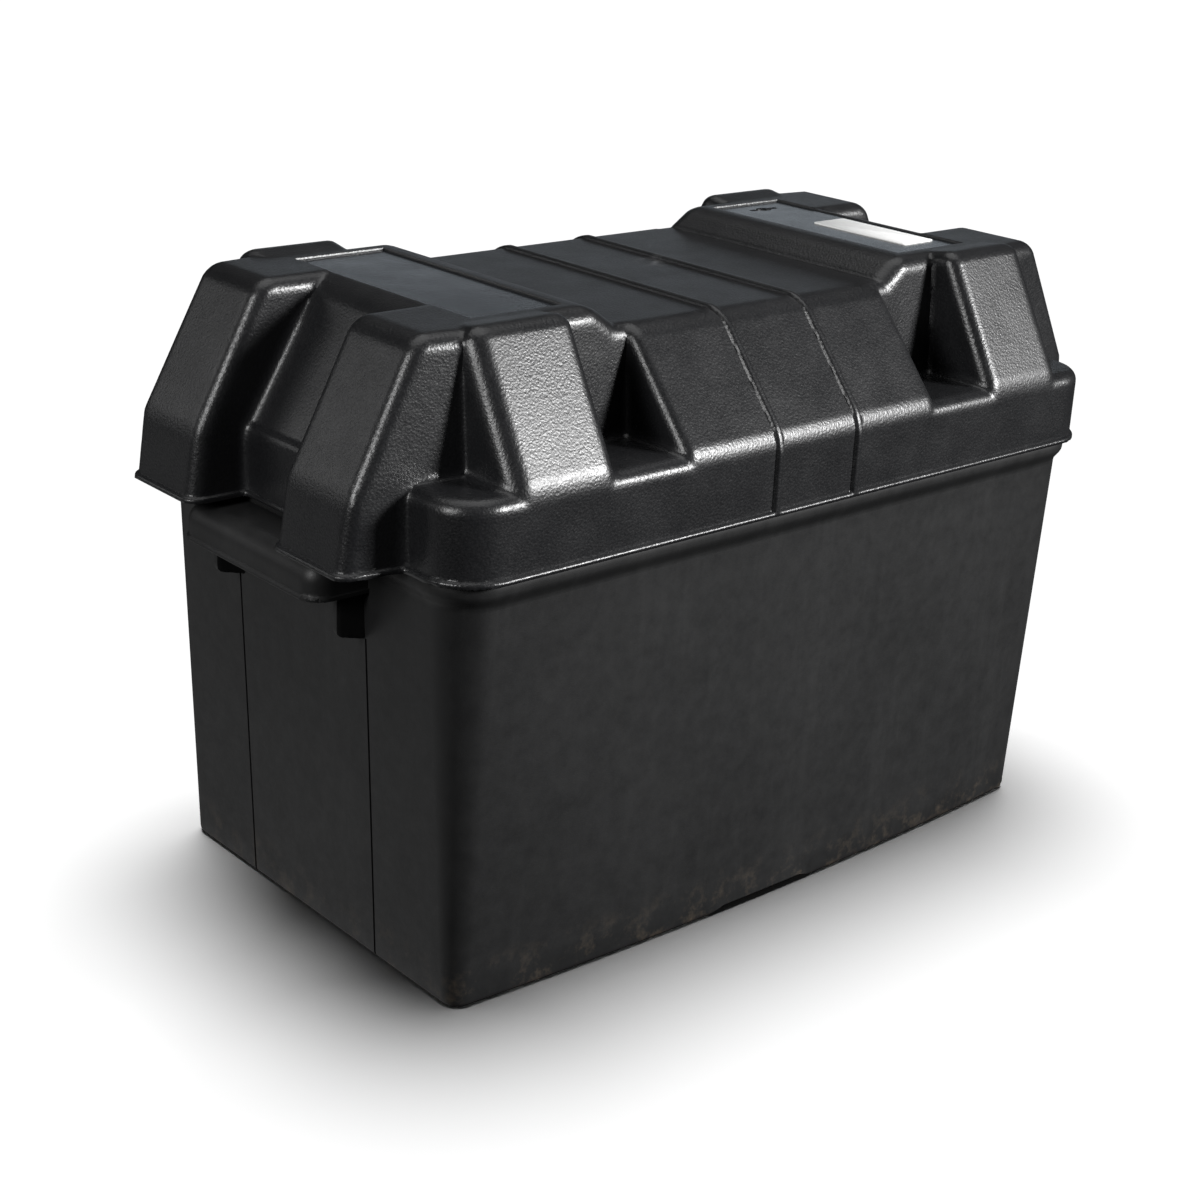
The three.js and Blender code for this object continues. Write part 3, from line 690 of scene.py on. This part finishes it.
def label_material():
    mat, nodes, links, shader, coords = material("label_white_film")
    fibre = noise(nodes, links, coords, 420, 4, 0.6, (1, 0.5, 1))
    colour = ramp(nodes, links, fibre, [(0.3, (0.74, 0.74, 0.73)), (0.7, (0.83, 0.83, 0.82))])
    links.new(colour, shader.inputs["Base Color"])
    links.new(ramp(nodes, links, noise(nodes, links, coords, 70, 3, 0.6), [(0.3, 0.4), (0.7, 0.55)]),
              shader.inputs["Roughness"])
    crinkle = bump(nodes, links, noise(nodes, links, coords, 160, 3, 0.5), 0.2, 0.0002)
    links.new(crinkle, shader.inputs["Normal"])
    return mat


for obj, body, node, slot_name, mat in (
    (lid, "lid", "lid", "lid_plastic", lid_material()),
    (tub, "tub", "tub", "tub_plastic", tub_material()),
    (label, "lid", "label", "label_film", label_material()),
):
    obj.data.materials.clear()
    obj.data.materials.append(mat)
    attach(obj, body)
    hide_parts(node)

# ---------------------------------------------------------------- floor, camera and light

floor_mesh = bpy.data.meshes.new("floor")
FLOOR_REACH, FLOOR_DROP = 6.0, 0.0004
floor_corners = [(sx * FLOOR_REACH, sy * FLOOR_REACH, 0) for sx, sy in ((-1, -1), (1, -1), (1, 1), (-1, 1))]
floor_mesh.from_pydata(floor_corners, [], [(0, 1, 2, 3)])
floor = bpy.data.objects.new("floor", floor_mesh)
bpy.context.scene.collection.objects.link(floor)
floor.location.z = -FLOOR_DROP
floor_mat, _, _, shader, _ = material("pale_floor")
shader.inputs["Base Color"].default_value = (0.86, 0.86, 0.86, 1)
shader.inputs["Roughness"].default_value = 0.9
shader.inputs["Specular IOR Level"].default_value = 0.1
floor_mesh.materials.append(floor_mat)

AZIMUTH, ELEVATION, ROLL = (math.radians(v) for v in (-41.907, 21.150, 2.734))
DISTANCE, AIM, FOCAL = 0.90513, Vector((-0.016275, 0, 0.103635)), 62.81
back = Vector((math.sin(AZIMUTH) * math.cos(ELEVATION), -math.cos(AZIMUTH) * math.cos(ELEVATION),
               math.sin(ELEVATION)))
right = Vector((math.cos(AZIMUTH), math.sin(AZIMUTH), 0))
up = back.cross(right)
right_rolled = right * math.cos(ROLL) + up * math.sin(ROLL)
up_rolled = up * math.cos(ROLL) - right * math.sin(ROLL)
camera_data = bpy.data.cameras.new("camera")
camera_data.lens = FOCAL
camera_data.sensor_width = 36
camera_data.clip_end = 50
camera = bpy.data.objects.new("camera", camera_data)
bpy.context.scene.collection.objects.link(camera)
rotation = Matrix((right_rolled, up_rolled, back)).transposed()
camera.matrix_world = Matrix.Translation(AIM + back * DISTANCE) @ rotation.to_4x4()
bpy.context.scene.camera = camera


def area_light(name, direction, distance, size, power, colour=(1, 1, 1), aim=Vector((0, 0, 0.15))):
    """Rectangular light at a distance from aim in a direction, turned towards aim."""
    data = bpy.data.lights.new(name, "AREA")
    data.shape = "RECTANGLE"
    data.size, data.size_y = size
    data.energy = power
    data.color = colour
    light = bpy.data.objects.new(name, data)
    bpy.context.scene.collection.objects.link(light)
    light.location = aim + Vector(direction).normalized() * distance
    light.rotation_euler = (light.location - aim).to_track_quat("Z", "Y").to_euler()
    return light


area_light("key", (0.54, -0.79, 0.34), 3.2, (0.55, 0.55), 215)
area_light("left_strip", (-0.9, -0.17, 0.4), 2.2, (0.35, 0.8), 30)
area_light("back_panel", (0.70, 0.68, 0.19), 2.6, (1.9, 0.42), 1.45, (0.82, 0.91, 1))
area_light("rear_left_fill", (-0.66, 0.69, 0.30), 2.4, (0.9, 0.9), 4.2)


def ceiling(name, strength, angle):
    """Wide soft sun from nearly overhead; angle is how wide it looks, in degrees."""
    data = bpy.data.lights.new(name, "SUN")
    data.energy = strength
    data.angle = math.radians(angle)
    light = bpy.data.objects.new(name, data)
    bpy.context.scene.collection.objects.link(light)
    light.rotation_euler = (math.radians(-8), math.radians(6), 0)
    return light


ceiling("ceiling", 1.4, 60)

# The object has the light above to itself; the floor has its own, so that it stays even.
object_receivers = bpy.data.collections.new("object_receivers")
floor_receivers = bpy.data.collections.new("floor_receivers")
for obj in (lid, tub, label):
    object_receivers.objects.link(obj)
floor_receivers.objects.link(floor)
for light in [o for o in bpy.context.scene.objects if o.type == "LIGHT"]:
    light.light_linking.receiver_collection = object_receivers
ceiling("floor_ceiling", 3.9, 35).light_linking.receiver_collection = floor_receivers
floor.visible_glossy = False
floor.visible_diffuse = False

# Light that a studio floor gives back, strongest behind the box on the left.
BOUNCE_FROM = (-0.45, 0.6, -0.66)
world = bpy.data.worlds.new("studio")
world.use_nodes = True
tree = world.node_tree
tree.nodes["Background"].inputs[0].default_value = (1, 1, 1, 1)
direction = tree.nodes.new("ShaderNodeTexCoord").outputs["Generated"]
facing = tree.nodes.new("ShaderNodeVectorMath")
facing.operation = "DOT_PRODUCT"
facing.inputs[1].default_value = BOUNCE_FROM
tree.links.new(direction, facing.inputs[0])
glow = tree.nodes.new("ShaderNodeMapRange")
glow.inputs["From Min"].default_value = 0.78
glow.inputs["From Max"].default_value = 1.0
glow.inputs["To Min"].default_value = 0.015
glow.inputs["To Max"].default_value = 0.5
tree.links.new(facing.outputs["Value"], glow.inputs["Value"])
tree.links.new(glow.outputs[0], tree.nodes["Background"].inputs[1])
bpy.context.scene.world = world
bpy.context.scene.view_settings.view_transform = "Standard"

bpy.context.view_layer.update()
